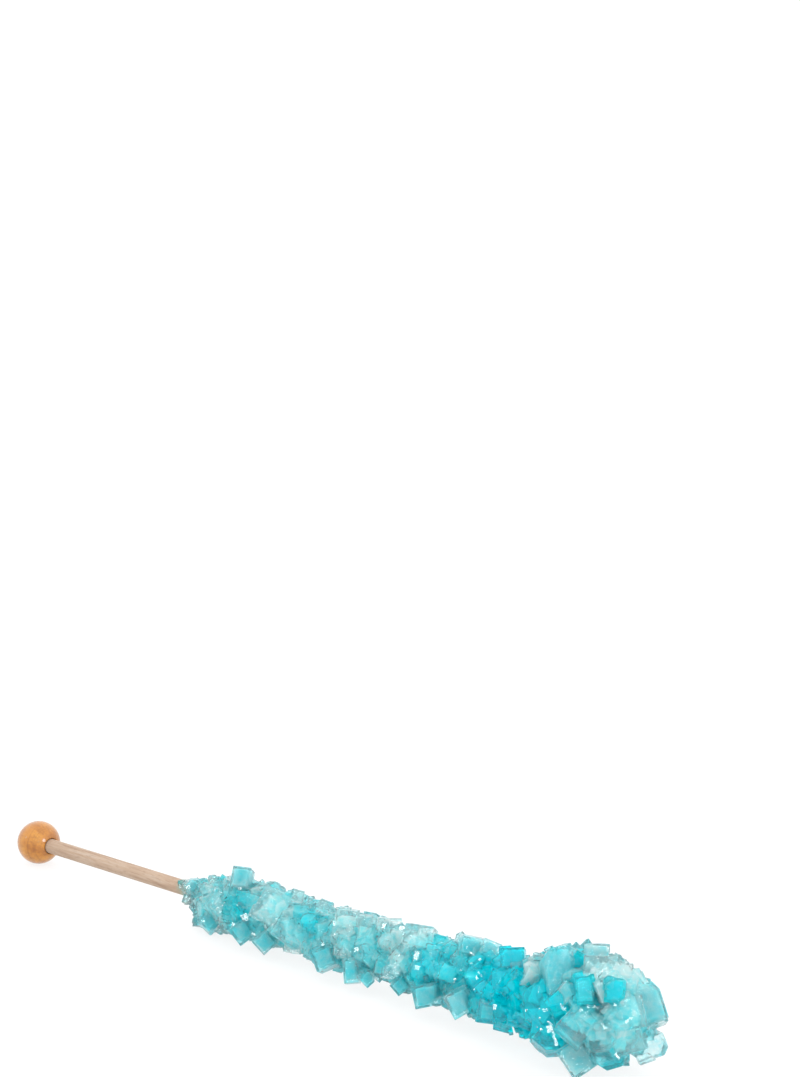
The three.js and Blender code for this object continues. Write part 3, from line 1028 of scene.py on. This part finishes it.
def birch_material():
    """Raw birch with its grain along the dowel, flecked, and stained where the sugar begins."""
    birch = Finish("raw_birch")
    grain = birch.noise(scale=1.6, detail=5.0, stretch=(0.06, 1, 1))
    fleck = birch.noise(scale=3.5, detail=3.0, stretch=(0.15, 1, 1), seed=7.0)
    colour = birch.ramp(
        grain,
        (0.3, linear(158, 131, 110)),
        (0.5, linear(177, 152, 130)),
        (0.75, linear(187, 169, 152)),
    )
    flecked = birch.ramp(fleck, (0.55, 0), (0.75, 0.45))
    colour = birch.mix(flecked, colour, linear(124, 92, 70))
    wander = 3.0  # millimetres that the stain's edge varies by along the dowel
    growth = 0.4  # of the stain, to the millimetre
    creep = birch.math("MULTIPLY_ADD", birch.noise(scale=0.8, detail=3.0), wander, birch.station())
    past_start = birch.math("MULTIPLY_ADD", creep, growth, -growth * SOAKED_STATION)
    soaked = birch.ramp(past_start, (0, 0), (1, 0.8))
    colour = birch.mix(soaked, colour, linear(136, 166, 150))
    height = birch.math("ADD", grain, birch.math("MULTIPLY", fleck, 0.5))
    return birch.finish(
        Base_Color=colour,
        Roughness=birch.ramp(grain, (0.3, 0.75), (0.7, 0.55)),
        Normal=birch.bump(height, 0.5, 0.05),
    )


def varnish_material():
    """Turned birch under golden varnish, with fine rings round the ball and brown streaks."""
    varnish = Finish("varnished_birch")
    stain = varnish.noise(scale=0.3, detail=3.0, seed=3.0)
    streak = varnish.noise(scale=1.5, detail=4.0, stretch=(0.1, 1, 1), seed=11.0)
    rings = varnish.noise(scale=2.2, detail=3.0, stretch=(1, 0.04, 0.04), seed=5.0)
    colour = varnish.ramp(
        stain,
        (0.3, linear(158, 95, 28)),
        (0.5, linear(186, 121, 40)),
        (0.7, linear(200, 137, 50)),
    )
    ringed = varnish.ramp(rings, (0.5, 0), (0.68, 0.3))
    colour = varnish.mix(ringed, colour, linear(120, 70, 20))
    streaked = varnish.ramp(streak, (0.45, 0), (0.7, 0.45))
    colour = varnish.mix(streaked, colour, linear(130, 78, 36))
    return varnish.finish(
        Base_Color=colour,
        Roughness=0.4,
        Specular_IOR_Level=0.2,
        Coat_Weight=1.0,
        Coat_Roughness=0.08,
        Normal=varnish.bump(varnish.math("ADD", streak, rings), 0.3, 0.03),
    )


def floor_material():
    """Plain pale card that glows a little, so that the shadows on it stay faint."""
    card = Finish("floor_card")
    fibre = card.noise(scale=0.05, detail=2.0)
    return card.finish(
        Base_Color=card.ramp(fibre, (0.3, (0.12, 0.12, 0.121)), (0.7, 0.14)),
        Roughness=0.7,
        Emission_Color=(1.0, 1.0, 1.0, 1.0),
        Emission_Strength=0.84,
    )


# ---- The pieces ----


def make_candy():
    """The clear outer crystals, and the milky inside that shows through them."""
    taken = [(place_on_stick(*row[:3]), row[3]) for row in LARGE_CRYSTALS]
    form_draw = seeded_random(FORM_SEED)
    large = large_crystals()
    spread = spread_crystals(SHAFT_CRYSTALS, taken, form_draw)
    spread += spread_crystals(KNOB_CRYSTALS, taken, form_draw)
    fine = spread_crystals(FINE_SHAFT_CRYSTALS, [], form_draw)
    fine += spread_crystals(FINE_KNOB_CRYSTALS, [], form_draw)
    fine += terraces(spread, **SPREAD_TERRACES)
    steps = terraces(large, **LARGE_TERRACES)
    core = spread_crystals(CORE_CRYSTALS, [], form_draw)
    skins = [resized(one, SKIN_SWELL) for one in core]
    outer = large + settled(spread + clear_of(fine, large) + steps + skins) + glints() + crumbs()
    inner = settled(core) + clouds(large)
    crystals = union_of(mass_mesh(COLLAR_START, 1), outer)
    new_piece("candy_crystals", crystals, "candy", crystal_material())
    heart = union_of(mass_mesh(HEART_START, HEART_SHARE), inner)
    new_piece("candy_heart", heart, "candy", heart_material())


def make_dowel():
    start = -DOWEL_INSET
    end = start + DOWEL_LENGTH
    profile = [
        (start, 0),
        (start, dowel_radius - DOWEL_CHAMFER),
        (start + DOWEL_CHAMFER, dowel_radius),
        *((lerp(start, end, ring / DOWEL_RINGS), dowel_radius) for ring in range(1, DOWEL_RINGS)),
        (end - DOWEL_CHAMFER, dowel_radius),
        (end, dowel_radius - DOWEL_CHAMFER),
        (end, 0),
    ]
    mesh = new_mesh("dowel_birch", *lathe(profile, DOWEL_SIDES))
    mesh.transform(STICK)
    mesh.shade_smooth()
    new_piece("dowel_birch", mesh, "dowel", birch_material())


def make_ball():
    """The ball with the hole that the dowel is in, and a small flat where it lies."""
    hole_radius = dowel_radius + HOLE_GAP
    rim_radius = hole_radius + HOLE_FLARE
    rim_angle = math.asin(rim_radius / ball_radius)
    rim_station = ball_radius * math.cos(rim_angle)
    profile = [(-ball_radius, 0)]
    for ring in range(1, BALL_RINGS + 1):
        turn = lerp(math.pi, rim_angle, ring / BALL_RINGS)
        profile.append((ball_radius * math.cos(turn), ball_radius * math.sin(turn)))
    for ring in range(1, RIM_RINGS + 1):
        share = ring / RIM_RINGS
        inward = HOLE_FLARE * math.sin(share * math.pi / 2)
        profile.append((rim_station - HOLE_FLARE * share, rim_radius - inward))
    profile.append((-BALL_HOLE_DEPTH, hole_radius))
    profile.append((-BALL_HOLE_DEPTH, 0))
    mesh = new_mesh("ball_varnished", *lathe(profile, BALL_SIDES))
    mesh.transform(STICK)
    for vertex in mesh.vertices:
        vertex.co.z = max(vertex.co.z, 0)
    mesh.shade_smooth()
    new_piece("ball_varnished", mesh, "ball", varnish_material())


# ---- The room ----


def make_floor():
    corners = [(x * FLOOR_REACH, y * FLOOR_REACH, 0) for x, y in SQUARE]
    mesh = new_mesh("floor", corners, [(0, 1, 2, 3)])
    floor = bpy.data.objects.new("floor", mesh)
    floor.location.z = -FLOOR_GAP * MM
    bpy.context.scene.collection.objects.link(floor)
    mesh.materials.append(floor_material())


def make_sky():
    """Soft light from all round, a little dimmer near the horizon."""
    world = bpy.data.worlds.new("studio")
    world.use_nodes = True
    tree = world.node_tree
    background = tree.nodes["Background"]
    direction = tree.nodes.new("ShaderNodeTexCoord")
    split = tree.nodes.new("ShaderNodeSeparateXYZ")
    ramp = tree.nodes.new("ShaderNodeValToRGB")
    tree.links.new(direction.outputs["Generated"], split.inputs[0])
    tree.links.new(split.outputs["Z"], ramp.inputs["Fac"])
    tree.links.new(ramp.outputs["Color"], background.inputs["Color"])
    horizon, sky = ramp.color_ramp.elements
    horizon.position = 0.0
    horizon.color = HORIZON_COLOUR
    sky.position = SKY_HEIGHT
    sky.color = SKY_COLOUR
    background.inputs["Strength"].default_value = SKY_STRENGTH
    bpy.context.scene.world = world


def hang_light(data, place, aim):
    light = bpy.data.objects.new(data.name, data)
    light.location = place
    light.rotation_mode = "QUATERNION"
    light.rotation_quaternion = (Vector(aim) - Vector(place)).to_track_quat("-Z", "Y")
    bpy.context.scene.collection.objects.link(light)


def make_lights():
    key = bpy.data.lights.new("key_light", "AREA")
    key.shape = "DISK"
    key.size = KEY_SIZE
    key.energy = KEY_POWER
    hang_light(key, KEY_PLACE, KEY_AIM)
    for name, place, power in SPARKLES:
        sparkle = bpy.data.lights.new(name, "SPOT")
        sparkle.shadow_soft_size = SPARKLE_RADIUS
        sparkle.energy = power
        sparkle.spot_size = rad(SPARKLE_CONE)
        sparkle.spot_blend = SPARKLE_BLEND
        hang_light(sparkle, place, SPARKLE_AIM)


def make_camera():
    data = bpy.data.cameras.new("camera")
    data.sensor_width = SENSOR_WIDTH
    data.lens = LENS
    data.clip_start = 0.05
    data.clip_end = 50
    camera = bpy.data.objects.new("camera", data)
    turn = Matrix.Rotation(rad(CAMERA_TURN), 4, "Z")
    pitch = Matrix.Rotation(rad(90 - CAMERA_PITCH), 4, "X")
    roll = Matrix.Rotation(-rad(CAMERA_ROLL), 4, "Z")
    camera.matrix_world = Matrix.Translation(STICK @ Vector(CAMERA_PLACE)) @ turn @ pitch @ roll
    bpy.context.scene.collection.objects.link(camera)
    bpy.context.scene.camera = camera


make_candy()
make_dowel()
make_ball()
make_floor()
make_sky()
make_lights()
make_camera()
bpy.context.scene.view_settings.view_transform = "Standard"
